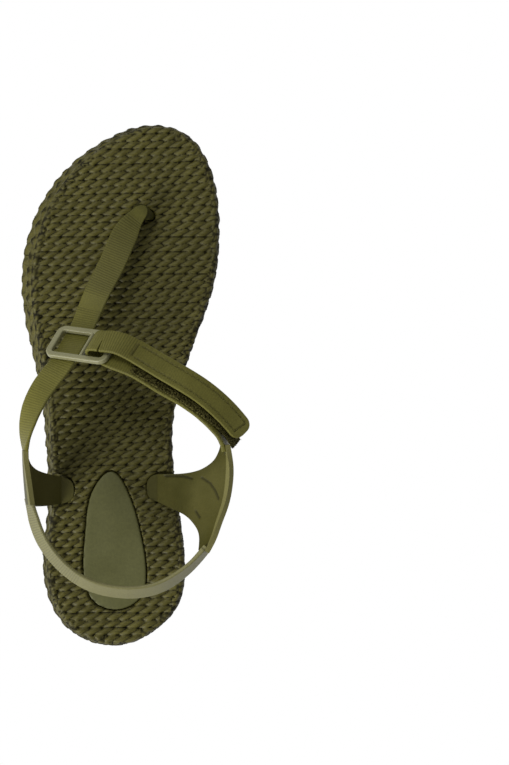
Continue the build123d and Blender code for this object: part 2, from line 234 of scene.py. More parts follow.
class Frames:
    """Places along a strap: middle, forward, across and up, as arrays."""

    def __init__(self, middle, ahead, across):
        self.middle = middle
        self.ahead = unit(ahead)
        self.across = unit(across - self.ahead * (across * self.ahead).sum(1, keepdims=True))
        self.up = np.cross(self.ahead, self.across)
        self.run = chord_knots(middle)

    def joined(self, other):
        return Frames(*[np.vstack([getattr(self, k), getattr(other, k)])
                        for k in ("middle", "ahead", "across")])

    def moved(self, across, up):
        across, up = np.reshape(across, (-1, 1)), np.reshape(up, (-1, 1))
        middle = self.middle + self.across * across + self.up * up
        return Frames(middle, self.ahead, self.across)

    def part(self, start, end):
        keep = slice(start, end)
        return Frames(self.middle[keep], self.ahead[keep], self.across[keep])

    def even(self, step):
        """The same places, respaced evenly by interpolation."""
        count = max(2, int(round(self.run[-1] / step)))
        at = np.linspace(0, self.run[-1], count + 1)

        def mixed(table):
            return np.stack([np.interp(at, self.run, table[:, k]) for k in range(3)], 1)

        return Frames(mixed(self.middle), mixed(self.ahead), mixed(self.across))


def on_buckle(u, v, n):
    return BUCKLE_CENTRE + u * BUCKLE_U + v * BUCKLE_V + n * BUCKLE_N


def stop(point, roll):
    return (*point, roll)


def route_frames(route, count=300):
    """Frames along a strap's middle line; the route lists (x, y, z, roll in degrees)."""
    route = np.asarray(route, float)
    knots = chord_knots(route[:, :3])
    at = np.linspace(0, knots[-1], count)
    middle, ahead = natural_spline(knots, route[:, :3], at)
    ahead = unit(ahead)
    level = unit(np.cross([0, 0, 1], ahead))
    up = np.cross(ahead, level)
    roll = np.radians(np.interp(at, knots, route[:, 3]))[:, None]
    return Frames(middle, ahead, level * np.cos(roll) + up * np.sin(roll))


# ---------------------------------------------------------------- meshes
def make_object(name, points, faces):
    """A mesh object from points in millimetres."""
    mesh = bpy.data.meshes.new(name)
    mesh.from_pydata((np.asarray(points) * MM).tolist(), [], faces)
    mesh.validate()
    mesh.update()
    mesh.shade_smooth()
    obj = bpy.data.objects.new(name, mesh)
    bpy.context.scene.collection.objects.link(obj)
    return obj


def paint(obj, name, values):
    """Stores one number for each vertex, for the material to read."""
    attribute = obj.data.attributes.new(name, "FLOAT", "POINT")
    attribute.data.foreach_set("value", np.asarray(values, np.float32))


def outward(obj):
    """Turns every face of a closed mesh outward."""
    work = bmesh.new()
    work.from_mesh(obj.data)
    bmesh.ops.recalc_face_normals(work, faces=work.faces)
    work.to_mesh(obj.data)
    work.free()
    return obj


def applied(obj, *modifiers):
    """Adds modifiers, given as (type, settings), and makes their result the mesh."""
    for kind, settings in modifiers:
        modifier = obj.modifiers.new(kind.lower(), kind)
        for key, value in settings.items():
            setattr(modifier, key, value)
    graph = bpy.context.evaluated_depsgraph_get()
    mesh = bpy.data.meshes.new_from_object(obj.evaluated_get(graph))
    obj.modifiers.clear()
    obj.data = mesh
    return obj


def tube_faces(rings, around):
    """Quads round a stack of rings, with one polygon over each end."""
    i = np.arange(rings - 1)[:, None] * around
    j = np.arange(around)[None, :]
    k = (j + 1) % around
    quads = np.stack([i + j, i + k, i + around + k, i + around + j], -1).reshape(-1, 4).tolist()
    quads.append(list(range(around))[::-1])
    quads.append(list(range((rings - 1) * around, rings * around)))
    return quads


def section(width, thickness, across_count=15):
    """A flat strip's outline with round edges: (across, up) rows, in order round it."""
    half, rise = width / 2, thickness / 2
    corner = min(rise * 0.75, 0.6)
    flat = np.linspace(-half + corner, half - corner, across_count)
    turn = np.radians([15, 45, 75])
    points = [(x, rise) for x in flat[::-1]]
    points += [(-half + corner - corner * sin(t), rise - corner + corner * cos(t)) for t in turn]
    points += [(-half + corner - corner * cos(t), -rise + corner - corner * sin(t)) for t in turn]
    points += [(x, -rise) for x in flat]
    points += [(half - corner + corner * sin(t), -rise + corner - corner * cos(t)) for t in turn]
    points += [(half - corner + corner * cos(t), rise - corner + corner * sin(t)) for t in turn]
    return np.array(points)


def rib_wave(run):
    return np.sqrt(np.abs(np.sin(pi * run / RIB_PITCH))) - 0.75


def strap(name, frames, width=STRAP_WIDTH, thickness=STRAP_THICKNESS, ribs=1.0, dents=None,
          round_start=0.0, round_end=0.0, across_count=15):
    """A ribbed strip swept along frames.

    width, thickness and ribs may change along it. dents(run, across) sinks the top.
    round_start and round_end are the corner radii of its ends in plan."""
    count = len(frames.middle)
    widths = np.broadcast_to(width, count).astype(float)
    thicks = np.broadcast_to(thickness, count).astype(float)
    rib = np.broadcast_to(ribs, count).astype(float)
    base = section(STRAP_WIDTH, STRAP_THICKNESS, across_count)
    run, length = frames.run, frames.run[-1]
    rings, shade = [], []
    for i in range(count):
        # painted shade: "relief" is lower between the ribs, where the troughs are painted darker
        crest = np.full(len(base), 1 - rib[i] * (1 - np.clip(rib_wave(run[i]) + 0.75, 0, 1)))
        across = base[:, 0] * widths[i] / STRAP_WIDTH
        up = base[:, 1] * thicks[i] / STRAP_THICKNESS
        for corner, gap in ((round_start, run[i]), (round_end, length - run[i])):
            if corner and gap < corner:
                pull = corner - np.sqrt(max(corner ** 2 - (corner - gap) ** 2, 0.0))
                across = across * (1 - pull / (widths[i] / 2))
        face = np.sign(base[:, 1]) * (np.abs(base[:, 1]) > STRAP_THICKNESS * 0.45)
        edge = 0.45 + 0.55 * smoothstep(0, 1.2, widths[i] / 2 - np.abs(across))
        up = up + face * rib_wave(run[i]) * RIB_HEIGHT * rib[i] * edge
        if dents is not None:
            sink = (face > 0) * dents(run[i], across)
            up = up - sink
            # painted shade: the sunk stitch lines are painted darker
            crest = crest - 2.6 * sink
        shade.append(crest)
        rings.append(frames.middle[i] + across[:, None] * frames.across[i]
                     + up[:, None] * frames.up[i])
    points = np.vstack(rings)
    obj = outward(make_object(name, points, tube_faces(count, len(base))))
    paint(obj, "relief", np.concatenate(shade))
    return obj


# ---------------------------------------------------------------- the sole
def flared(points):
    """The footbed's upper edge, which leans in on the lateral side."""
    x, y = points[:, 0], points[:, 1]
    share = np.clip((y + HALF_LENGTH) / 190, None, 1)
    flare = FLARE_HEEL + (FLARE_TOE - FLARE_HEEL) * share
    return np.stack([x + flare * (41 - x) / 97, y * (1 - END_FLARE / HALF_LENGTH)], 1)


def footbed_level(y):
    """Height of the footbed's mean surface along the sole."""
    knots = [-48, -20, 15, 45]
    levels = [HEEL_TOP, 21.9, 18.4, FOREFOOT_TOP]
    inner = natural_spline(knots, levels, np.clip(y, -48, 45))[0]
    return np.clip(inner, FOREFOOT_TOP, HEEL_TOP)


def grown(points, gap):
    """A clockwise closed line moved outward."""
    ahead = np.roll(points, -1, 0) - np.roll(points, 1, 0)
    ahead = unit(ahead)
    return points + gap * np.stack([-ahead[:, 1], ahead[:, 0]], 1)


def inside(points, outline):
    """Even-odd test of points against a closed polyline."""
    x, y = points[:, 0][:, None], points[:, 1][:, None]
    a, b = outline, np.roll(outline, -1, 0)
    crosses = (a[:, 1] > y) != (b[:, 1] > y)
    slope = (b[:, 0] - a[:, 0]) / np.where(b[:, 1] == a[:, 1], 1e-9, b[:, 1] - a[:, 1])
    return ((x < a[:, 0] + (y - a[:, 1]) * slope) & crosses).sum(1) % 2 == 1


def nearest(points, outline):
    """For each point, the nearest place on a dense outline: its index and distance."""
    tree = KDTree(len(outline))
    for i, (x, y) in enumerate(outline):
        tree.insert((x, y, 0), i)
    tree.balance()
    found = [tree.find((x, y, 0))[1:] for x, y in points]
    return np.array([f[0] for f in found]), np.array([f[1] for f in found])


def strands(t, phase, offset, radius, swing):
    """Heights of a rope's two strands over its axis, t across it, at a phase of its twist."""
    heights = []
    for turn in (0, pi):
        side = t - swing * np.cos(phase + turn)
        dome = np.sqrt(np.clip(radius ** 2 - side ** 2, 0, None))
        heights.append(np.where(np.abs(side) < radius, offset * np.sin(phase + turn) + dome, ROPE_FLOOR))
    return heights


def laid(t, phase, swing=1.0):
    """The two strands of the rope that the footbed's top is laid with."""
    return strands(t, phase, STRAND_OFFSET, STRAND_RADIUS, STRAND_SWING * swing)


def packed(layers):
    """The highest layer, and how deep in a crease each point is, from 0 to 1."""
    ranked = np.sort(np.array(layers), axis=0)
    step = ranked[-1] - np.maximum(ranked[-2], ROPE_FLOOR + 0.2)
    return ranked[-1], np.exp(-(step / CREASE_WIDTH) ** 2)


def row_slope(y):
    """How far the rows of rope lean at each place along the sole."""
    return np.interp(y, [-120, -60, -30, 0, 25, 60, 100], [0.0, 0.02, 0.06, 0.07, 0.0, -0.01, 0.04])


def side_limits(outline, y):
    """The outline's lateral and medial x at a y."""
    top, bottom = outline[:, 1].argmax(), outline[:, 1].argmin()
    ring = np.roll(outline, -top, 0)
    split = (bottom - top) % len(outline)
    medial, lateral = ring[: split + 1], ring[split:]
    right = np.interp(y, medial[::-1, 1], medial[::-1, 0])
    left = np.interp(y, lateral[:, 1], lateral[:, 0])
    return left, right


def rope_relief(x, y, outline, rim_rope):
    """The height of the laid rope: rows across the sole that turn back at both edges."""
    x = x + TWIST_WANDER * wander(x, y, 26, 3)
    w = y - row_slope(y) * x + LINE_WANDER * wander(x, y, 38, 4) + SMALL_WANDER * wander(x, y, 7, 5)
    row = np.floor(w / ROW_PITCH).astype(int)
    first = row.min() - 2
    jitter = RNG.uniform(-PHASE_JITTER, PHASE_JITTER, row.max() - first + 6)

    def phase(which, at):
        return -2 * pi * at / TWIST + pi / 2 * (which % 2) + jitter[which - first]

    layers = []
    for near in (-1, 0, 1):
        t = w - (row + near + 0.5) * ROW_PITCH
        layers += laid(t, phase(row + near, x))
    height, crease = packed(layers)
    for shift, side, outward_sign in ((0, "lateral", -1), (1, "medial", 1)):
        low = 2 * np.floor((row - shift) / 2).astype(int) + shift
        centre = (low + 1) * ROW_PITCH
        limit = side_limits(outline, centre + row_slope(centre) * TURNS_AT[side])[shift]
        turn = limit - outward_sign * ROW_PITCH * TURNS_IN[side]
        away = outward_sign * (x - turn)
        begin = pi - phase(low, turn)
        end = phase(low + 1, turn)
        target = outward_sign * pi * ROW_PITCH / 2 * 2 * pi / TWIST
        end = end + 2 * pi * np.round((begin + target - end) / (2 * pi))
        turned, fold_crease = packed(turned_rope(away, w - centre, begin, end) + rim_rope)
        height = np.where(away > 0, turned, height)
        crease = np.where(away > 0, fold_crease, crease)
    uneven = 0.10 * wander(x, y, 5.0, 8) + 0.05 * wander(x, y, 1.9, 9)
    return height + uneven, crease


def turned_rope(away, beside, begin, end):
    """The strands where a row bends round into the next, its phase going from begin to end."""
    angle = np.arctan2(beside, away)
    bend = begin + (end - begin) * (angle / pi + 0.5)
    spread = np.hypot(away, beside)
    loop = laid(spread - ROW_PITCH / 2, bend, TURN_SWING)
    return [np.where(spread < ROW_PITCH * TURN_REACH, strand, ROPE_FLOOR) for strand in loop]


MEDIAL_TONGUE = [
    (5.3, -50.5), (7.6, -44.8), (13, -42.8), (19, -43.4), (19, -57.8), (13, -58.2), (7.6, -56),
]
LATERAL_TONGUE = [
    (-29.2, -52), (-33.2, -58.6), (-45, -59.8), (-45, -44.4), (-36, -43.9), (-30.6, -46.5),
]


def toe_hole():
    """The oval round the toe post, turned with the strap."""
    angle = np.linspace(0, -2 * pi, 12, endpoint=False)
    along_x, along_y = 4.3 * np.cos(angle), 3.1 * np.sin(angle)
    return np.stack([6.0 + along_x * 0.82 + along_y * 0.57, 83.0 - along_x * 0.57 + along_y * 0.82], 1)


def grid_within(rim):
    """A square grid's points and quads inside the rim, and its border, pulled out to the rim."""
    xs = np.arange(rim[:, 0].min(), rim[:, 0].max() + GRID_X, GRID_X)
    ys = np.arange(rim[:, 1].min(), rim[:, 1].max() + GRID_Y, GRID_Y)
    gx, gy = np.meshgrid(xs, ys)
    left, right = side_limits(rim, gy)
    within = (gx > left + 0.12) & (gx < right - 0.12)
    within &= (gy > rim[:, 1].min() + 0.1) & (gy < rim[:, 1].max() - 0.1)
    cell = within[:-1, :-1] & within[1:, :-1] & within[:-1, 1:] & within[1:, 1:]
    used = np.zeros(within.shape, bool)
    used[:-1, :-1] |= cell
    used[1:, :-1] |= cell
    used[:-1, 1:] |= cell
    used[1:, 1:] |= cell
    number = np.full(used.shape, -1)
    number[used] = np.arange(used.sum())
    flat = np.stack([gx[used], gy[used]], 1)
    corner = [number[:-1, :-1], number[:-1, 1:], number[1:, 1:], number[1:, :-1]]
    quads = np.stack([c[cell] for c in corner], -1)
    border = border_loop(quads)
    on_rim, _ = nearest(flat[border], rim)
    flat[border] = rim[on_rim]
    return flat, quads, border, on_rim


def border_loop(quads):
    """The points of the edges that only one quad has, in order round the grid."""
    edges = np.concatenate([quads[:, [k, (k + 1) % 4]] for k in range(4)])
    key = np.sort(edges, 1)
    _, where, counts = np.unique(key, axis=0, return_index=True, return_counts=True)
    following = dict(edges[where[counts == 1]].tolist())
    loop = [next(iter(following))]
    while following[loop[-1]] != loop[0]:
        loop.append(following[loop[-1]])
    return np.array(loop)


def recess_depths(flat):
    """How deep each point is sunk in a recess; moves points near an outline onto it."""
    plate = grown(closed_curve(INSERT_OUTLINE, 400), INSERT_GAP)
    shapes = [(plate, RECESS_DEPTH), (closed_curve(MEDIAL_TONGUE, 160), TONGUE_DEPTH),
              (closed_curve(LATERAL_TONGUE, 160), TONGUE_DEPTH), (closed_curve(toe_hole(), 120), HOLE_DEPTH)]
    depth = np.zeros(len(flat))
    for outline, deep in shapes:
        lo, hi = outline.min(0) - 1, outline.max(0) + 1
        near = np.where(((flat > lo) & (flat < hi)).all(1))[0]
        index, gap = nearest(flat[near], outline)
        snap = gap < SNAP_REACH
        flat[near[snap]] = outline[index[snap]]
        sunk = inside(flat[near], outline) & ~snap
        depth[near[sunk]] = deep
    return depth


def wall_rings(edge_z, on_rim, rim, wide):
    """Rings from the border down, out over the widest level and back in, and the painted shade of each:
    lighter on the lumps of rope, darker in the dips between them.
    """
    start, broad, foot = rim[on_rim], wide[on_rim], grown(wide, FOOT_GROWTH)[on_rim]
    ahead = unit(np.roll(broad, -3, 0) - np.roll(broad, 3, 0))
    out = np.stack([-ahead[:, 1], ahead[:, 0]], 1)
    run = chord_knots(np.vstack([broad, broad[:1]]))[:-1]
    rings, wall_shade = [], []
    for k in range(1, WALL_RINGS + 1):
        share = k / WALL_RINGS
        height = edge_z + (OUTSOLE_TOP - edge_z) * share
        upper = np.clip((height - WIDEST_LEVEL) / (edge_z - WIDEST_LEVEL), 0, 1)[:, None]
        lower = np.clip((height - OUTSOLE_TOP) / (WIDEST_LEVEL - OUTSOLE_TOP), 0, 1)[:, None]
        plan = broad + (start - broad) * upper + (foot - broad) * (1 - lower)
        t = (height - OUTSOLE_TOP) % SIDE_PITCH - SIDE_PITCH / 2
        tier = np.floor((height - OUTSOLE_TOP) / SIDE_PITCH)
        phase = 2 * pi * (run / SIDE_TWIST + TIER_SHIFT * tier) + 0.5 * wander(run, height * 9, 30, 12)
        lump, dip = packed(strands(t, phase, SIDE_OFFSET, SIDE_RADIUS, SIDE_OFFSET))
        lump = lump - LUMP_MEAN
        # painted shade on the wall: lighter on the lumps of rope, darker in the dips between them
        wall_shade.append(np.clip(0.75 + lump * 0.35 - 0.4 * dip, 0, 1))
        lump = WALL_LUMP * lump * smoothstep(0, 0.12, share) * smoothstep(0, 0.06, 1 - share)
        plan = plan + out * (lump + 0.15 * wander(run, height * 3, 9, 13) * (k < WALL_RINGS))[:, None]
        rings.append(np.column_stack([plan, height]))
    return rings, wall_shade


def wall_faces(border, first):
    """Quads from the border down through rings of points that are numbered from first on."""
    faces = []
    before = border
    for k in range(WALL_RINGS):
        after = first + k * len(border) + np.arange(len(border))
        band = np.stack([before, after, np.roll(after, -1), np.roll(before, -1)], 1)
        faces += band.tolist()
        before = after
    faces.append(before[::-1].tolist())
    return faces


def footbed_mesh():
    """The moulded footbed: a fine top with its rope relief, and walls of stacked rope."""
    wide = closed_curve(SOLE_OUTLINE, 2400)
    rim = flared(wide)
    flat, quads, border, on_rim = grid_within(rim)
    depth = recess_depths(flat)
    x, y = flat.T
    spot, edge = nearest(flat, rim)
    rim_run = chord_knots(np.vstack([rim, rim[:1]]))[spot]
    rim_phase = -2 * pi * rim_run / TWIST + 0.6 * wander(rim_run, edge, 31, 15)
    relief, crease = rope_relief(x, y, rim, laid(edge - RIM_ROPE_IN, rim_phase))
    level = footbed_level(y)
    crest = STRAND_OFFSET + STRAND_RADIUS
    z = level + CREST_LEVEL - crest + relief - CREASE_DEPTH * crease
    z -= EDGE_DROP * (1 - smoothstep(0, 1.6, edge)) ** 2
    z = np.where(depth > 0, level - depth, z)
    rings, wall_shade = wall_rings(z[border], on_rim, rim, wide)
    points = np.vstack([np.column_stack([flat, z])] + rings)
    faces = quads.tolist() + wall_faces(border, len(flat))
    obj = outward(make_object("rope_footbed", points, faces))
    # painted shade on the top: darker where it lies low between the strands, darkest in the creases
    top_shade = np.clip(np.sqrt(np.clip(relief / crest, 0, 1)) - 0.85 * crease, 0, 1)
    paint(obj, "relief", np.concatenate([top_shade] + wall_shade))
    return obj


# ---------------------------------------------------------------- heel plate
def heel_plate():
    """The smooth plate let into the heel, with a rounded rim and a slight crown."""
    line = closed_curve(INSERT_OUTLINE, 260)
    rings = [(-0.15, 21.8), (0, 22.0), (0, 23.25), (-0.18, 23.55), (-0.5, 23.72), (-1.0, 23.8)]
    stack = [np.column_stack([grown(line, gap), np.full(len(line), z)]) for gap, z in rings]
    centre = line.mean(0)
    for share in (0.15, 0.35, 0.55, 0.75, 0.92):
        inner = grown(line, -1.0) * (1 - share) + centre * share
        stack.append(np.column_stack([inner, np.full(len(line), 23.8 + 0.25 * smoothstep(0, 1, share))]))
    points = np.vstack(stack)
    return outward(make_object("heel_plate", points, tube_faces(len(stack), len(line))))


# ---------------------------------------------------------------- straps
def front_route():
    under = -(BUCKLE_HALF + BUCKLE_GAP + STRAP_THICKNESS / 2)
    return [
        (3.9, 84.9, 24.2, 0),
        (-1.5, 78.6, 24.7, 0),
        (-5.2, 72.0, 25.4, 2),
        (-10.6, 59.3, 27.2, 8),
        (-18.0, 44.3, 31.0, 18),
        stop(on_buckle(-7.3, 10, under), 33),
        stop(on_buckle(-7.3, 0, under), 33),
        stop(on_buckle(-7.3, -10, under), 33),
        (-42.2, -0.8, 54.6, 32),
        (-47.8, -11.5, 57.2, 41),
        (-50.0, -18.8, 58.0, 53),
        (-51.0, -24.8, 58.1, 66),
        (-51.0, -31.5, 58.0, 82),
    ]


def instep_route():
    return [
        stop(on_buckle(11.4, -0.7, -2.6), -27),
        stop(on_buckle(17.5, -2.6, -2.9), -31),
        (0.5, 9.0, 59.6, -32),
        (14.9, 0.8, 61.0, -28),
        (29.1, -7.8, 60.7, -30),
        (36.1, -14.1, 60.0, -42),
        (40.6, -20.0, 59.2, -57),
        (43.1, -24.8, 58.4, -70),
        (44.0, -28.6, 58.0, -80),
    ]


def flap_route():
    return [
        stop(on_buckle(12.4, 0.25, 4.5), -39.6),
        stop(on_buckle(18.5, 0.9, 4.1), -36),
        (3.4, 14.6, 61.8, -31),
        (18.0, 6.0, 63.3, -28),
        (32.4, -2.8, 62.9, -28),
        (42.3, -11.0, 61.4, -28),
        (48.2, -17.2, 60.0, -30),
        (53.4, -23.6, 58.4, -32),
    ]


def heel_route():
    return [
        (-48.7, -57.6, 58.0, 75),
        (-47.0, -64.4, 58.0, 68),
        (-43.4, -74.0, 58.0, 66),
        (-37.0, -83.3, 58.0, 66),
        (-29.0, -90.8, 58.0, 66),
        (-20.0, -96.0, 58.0, 65),
        (-8.0, -99.0, 58.0, 65),
        (3.0, -99.2, 58.0, 65),
        (14.0, -96.4, 58.0, 67),
        (23.0, -91.0, 58.0, 71),
        (29.3, -85.6, 58.0, 75),
        (34.0, -80.2, 58.0, 78),
    ]


def joined(name, *objects):
    """One object from several, keeping them as separate shells of one mesh."""
    work = bmesh.new()
    for obj in objects:
        work.from_mesh(obj.data)
        bpy.data.objects.remove(obj)
    mesh = bpy.data.meshes.new(name)
    work.to_mesh(mesh)
    work.free()
    piece = bpy.data.objects.new(name, mesh)
    bpy.context.scene.collection.objects.link(piece)
    return piece


POST_HALF = (3.6, 2.5)


def toe_post():
    """The smooth stalk that holds the toe strap, flared where it joins the strap."""
    levels = [(7, 1.0, 0.0), (14, 1.0, 0.0), (18, 1.0, 0.12), (21, 1.02, 0.45),
              (22.6, 1.08, 0.75), (23.4, 1.2, 0.92), (23.9, 1.4, 1.0)]
    angle = np.linspace(0, 2 * pi, 40, endpoint=False)
    base, top = np.array([6.0, 83.0]), np.array([3.7, 83.9])
    wide = np.array([cos(radians(-35)), sin(radians(-35))])
    deep = np.array([sin(radians(35)), cos(radians(35))])
    rings = []
    for z, size, lean in levels:
        middle = base + (top - base) * lean
        ring = middle + np.outer(np.cos(angle), wide) * POST_HALF[0] * size
        ring = ring + np.outer(np.sin(angle), deep) * POST_HALF[1] * size
        rings.append(np.column_stack([ring, np.full(len(angle), z)]))
    return outward(make_object("post", np.vstack(rings), tube_faces(len(rings), len(angle))))


def extended(frames, before=0.0, after=0.0):
    """Frames carried on in a straight line past either end."""
    if before:
        steps = np.linspace(-before, 0, EXTENSION_STEPS, endpoint=False)
        frames = straight_on(frames.part(0, 1), steps).joined(frames)
    if after:
        steps = np.linspace(0, after, EXTENSION_STEPS + 1)[1:]
        frames = frames.joined(straight_on(frames.part(-1, None), steps))
    return frames


def straight_on(frame, steps):
    """Frames at steps along one frame's forward line."""
    middle = frame.middle + frame.ahead * steps[:, None]
    count = len(steps)
    return Frames(middle, np.repeat(frame.ahead, count, 0), np.repeat(frame.across, count, 0))


HIDDEN_NARROWING = 1.0  # where a strap's end is inside a wing
EXTENSION_STEPS = 8
ROOT_THICKENING = 0.6
TOE_WIDTH = 6.8
INSTEP_RIBS = 0.8
BUCKLE_STRETCH = (51, 52, 58, 59)  # the front strap is nearly smooth here, next to the buckle


def hidden_end(run, full, reach=0.6):
    """1 past the place where a strap is wholly inside a wing, and 0 outside it."""
    return smoothstep(full - reach, full, run)


def front_strap():
    frames = extended(route_frames(front_route()), before=2.2, after=3.5).even(RIB_PITCH / 4)
    run, length = frames.run, frames.run[-1]
    hidden = hidden_end(run, length - 2.0)
    width = TOE_WIDTH + (STRAP_WIDTH - TOE_WIDTH) * smoothstep(1.0, 19, run) - HIDDEN_NARROWING * hidden
    dome = 1.4 * np.exp(-((run - 3.0) / 3.4) ** 2)
    a, b, c, d = BUCKLE_STRETCH
    by_buckle = smoothstep(a, b, run) - smoothstep(c, d, run)
    ribs = smoothstep(6.5, 8.5, run) * (1 - 0.9 * by_buckle) * (1 - hidden)
    root = ROOT_THICKENING * smoothstep(length - 10, length - 3, run)
    flat = strap("strap", frames, width, STRAP_THICKNESS + dome + root, ribs, round_start=4.0)
    across_count = len(flat.data.vertices) // len(run)
    # painted light: from the buckle on, the strap is painted lighter, standing in for the light falling on
    # that stretch
    painted_light = 0.45 * smoothstep(44, 52, run) + 0.55 * smoothstep(58, 66, run)
    paint(flat, "painted_light", np.repeat(painted_light, across_count))
    return joined("front_webbing", flat, toe_post())


def instep_strap():
    frames = extended(route_frames(instep_route()), after=3.0).even(RIB_PITCH / 4)
    run, length = frames.run, frames.run[-1]
    root = ROOT_THICKENING * smoothstep(length - 9, length - 3, run)
    hidden = hidden_end(run, length - 2.4)
    return strap("instep_webbing", frames, STRAP_WIDTH - HIDDEN_NARROWING * hidden,
                 STRAP_THICKNESS + root, INSTEP_RIBS * (1 - hidden))


def fold():
    """The loose fold of the instep strap round the buckle's outer rail."""
    turn = np.linspace(270, 90, FOLD_STEPS)
    radius = np.interp(turn, [90, 135, 180, 225, 270], [FOLD_OVER, FOLD_OVER, 3.6, FOLD_UNDER, FOLD_UNDER])
    out, up = radius * np.cos(np.radians(turn)), radius * np.sin(np.radians(turn))
    v = np.linspace(-0.3, 0.15, FOLD_STEPS)
    middle = np.array([on_buckle(FOLD_AT + u, w, n) for u, w, n in zip(out, v, up)])
    bend = Frames(middle, np.gradient(middle, axis=0), np.tile(BUCKLE_V, (FOLD_STEPS, 1)))
    start = on_buckle(11.6, -0.5, -2.55)
    end = on_buckle(12.3, 0.24, 4.5)
    first = Frames(start[None], -BUCKLE_U[None], BUCKLE_V[None])
    last = Frames(end[None], BUCKLE_U[None], BUCKLE_V[None])
    frames = first.joined(bend).joined(last).even(RIB_PITCH / 4)
    return strap("instep_fold", frames, ribs=INSTEP_RIBS)


STITCH_SIDE = 3.7
STITCH_SINK = 0.26
BAR_TACK_SHARE = 0.2  # of the flap's length
STITCHING_FROM = 0.24
FLAP_LENGTH = route_frames(flap_route()).run[-1]
CLOSING_AT = FLAP_LENGTH - 3.8


def flap_dents(run, across):
    """Two sunk stitch lines along the flap, closed by a third near the tip."""
    across = np.asarray(across)
    depth = np.zeros(across.shape)
    if 0.22 * FLAP_LENGTH < run < CLOSING_AT:
        depth += STITCH_SINK * np.exp(-((np.abs(across) - STITCH_SIDE) / 0.42) ** 2)
    point = CLOSING_AT + 0.15 * across
    depth += STITCH_SINK * np.exp(-((run - point) / 0.45) ** 2) * (np.abs(across) < STITCH_SIDE + 0.2)
    if abs(run - BAR_TACK_SHARE * FLAP_LENGTH) < 0.8:
        depth += 0.12 * (np.abs(across) < STITCH_SIDE + 0.3)
    return depth


def flap():
    frames = route_frames(flap_route()).even(RIB_PITCH / 4)
    run, length = frames.run, frames.run[-1]
    ribs = 1 - 0.6 * smoothstep(15, 18, run) - 0.15 * smoothstep(length - 12, length - 4, run)
    return strap("flap_webbing", frames, ribs=ribs, dents=flap_dents, round_end=4.5, across_count=41)


def heel_strap():
    """Ribbed on the lateral side, smooth round the back, thicker at both ends."""
    frames = extended(route_frames(heel_route()), before=3.3, after=3.0).even(RIB_PITCH / 4)
    run, length = frames.run, frames.run[-1]
    hidden = 1 - smoothstep(1.9, 2.5, run) + hidden_end(run, length - 1.4)
    ribs = (1 - smoothstep(-26.0, -25.0, frames.middle[:, 0])) * (1 - hidden)
    thickness = 1.8 + 0.5 * (1 - smoothstep(1, 9, run)) + 0.5 * smoothstep(length - 11, length - 2, run)
    return strap("heel_webbing", frames, STRAP_WIDTH - HIDDEN_NARROWING * hidden, thickness, ribs)


# ---------------------------------------------------------------- wings
def wing_middle(rows, levels, y, z):
    """x of a wing's middle surface, by a smooth spline through its rows and levels."""
    stations = np.array([row[0] for row in rows])[::-1].astype(float)
    table = np.array([row[1] for row in rows])[::-1].astype(float)
    fine_z = np.linspace(levels[0], levels[-1], FINE_LEVELS)
    by_level = natural_spline(levels, table.T, fine_z)[0]
    fine_y = np.linspace(stations[0], stations[-1], FINE_STATIONS)
    grid = natural_spline(stations, by_level.T, fine_y)[0]
    iy = np.clip((y - fine_y[0]) / (fine_y[1] - fine_y[0]), 0, FINE_STATIONS - 1.001)
    iz = np.clip((z - fine_z[0]) / (fine_z[1] - fine_z[0]), 0, FINE_LEVELS - 1.001)
    a, b = iy.astype(int), iz.astype(int)
    p, q = iy - a, iz - b
    low = grid[a, b] * (1 - q) + grid[a, b + 1] * q
    high = grid[a + 1, b] * (1 - q) + grid[a + 1, b + 1] * q
    return low * (1 - p) + high * p


def along(points, count):
    """Points spread evenly along a polyline."""
    points = np.asarray(points, float)
    run = chord_knots(points)
    at = np.linspace(0, run[-1], count)
    return np.stack([np.interp(at, run, points[:, k]) for k in range(points.shape[1])], 1)


def edge_line(stages):
    """A boundary of three stages with the same share of the rows each, rounded where the first two meet."""
    parts = [along(stage, STAGE_ROWS) for stage in stages]
    rows = np.vstack([part[:-1] for part in parts[:-1]] + parts[-1:])
    corner = 2 * (STAGE_ROWS - 1)
    for _ in range(EDGE_PASSES):
        rows[1:corner] = (rows[: corner - 1] + 2 * rows[1:corner] + rows[2: corner + 1]) / 4
    return rows


def wing_wall(rows, levels, front, rear):
    """Rows of points between a wing's two edges, from its root to its top."""
    f, r = edge_line(front), edge_line(rear)
    v = np.linspace(0, 1, WING_ACROSS)[None, :]
    hug = np.abs(2 * v - 1) ** 4
    y = f[:, :1] + (r[:, :1] - f[:, :1]) * v
    z_edge = np.where(v < 0.5, f[:, 1:], r[:, 1:])
    stage = len(f) // 3
    z_mean = (f[:, 1] + r[:, 1]) / 2
    middle = (z_mean[2 * stage] + z_mean[-1]) / 2
    stops = [0, stage, 2 * stage, len(f) - 1]
    inner = np.interp(np.arange(len(f)), stops, [TONGUE_LEVEL, z_mean[stage], middle, z_mean[-1]])
    z = inner[:, None] * (1 - hug) + z_edge * hug
    z[0] = TONGUE_LEVEL
    return np.stack([wing_middle(rows, levels, y, z), y, z], -1)


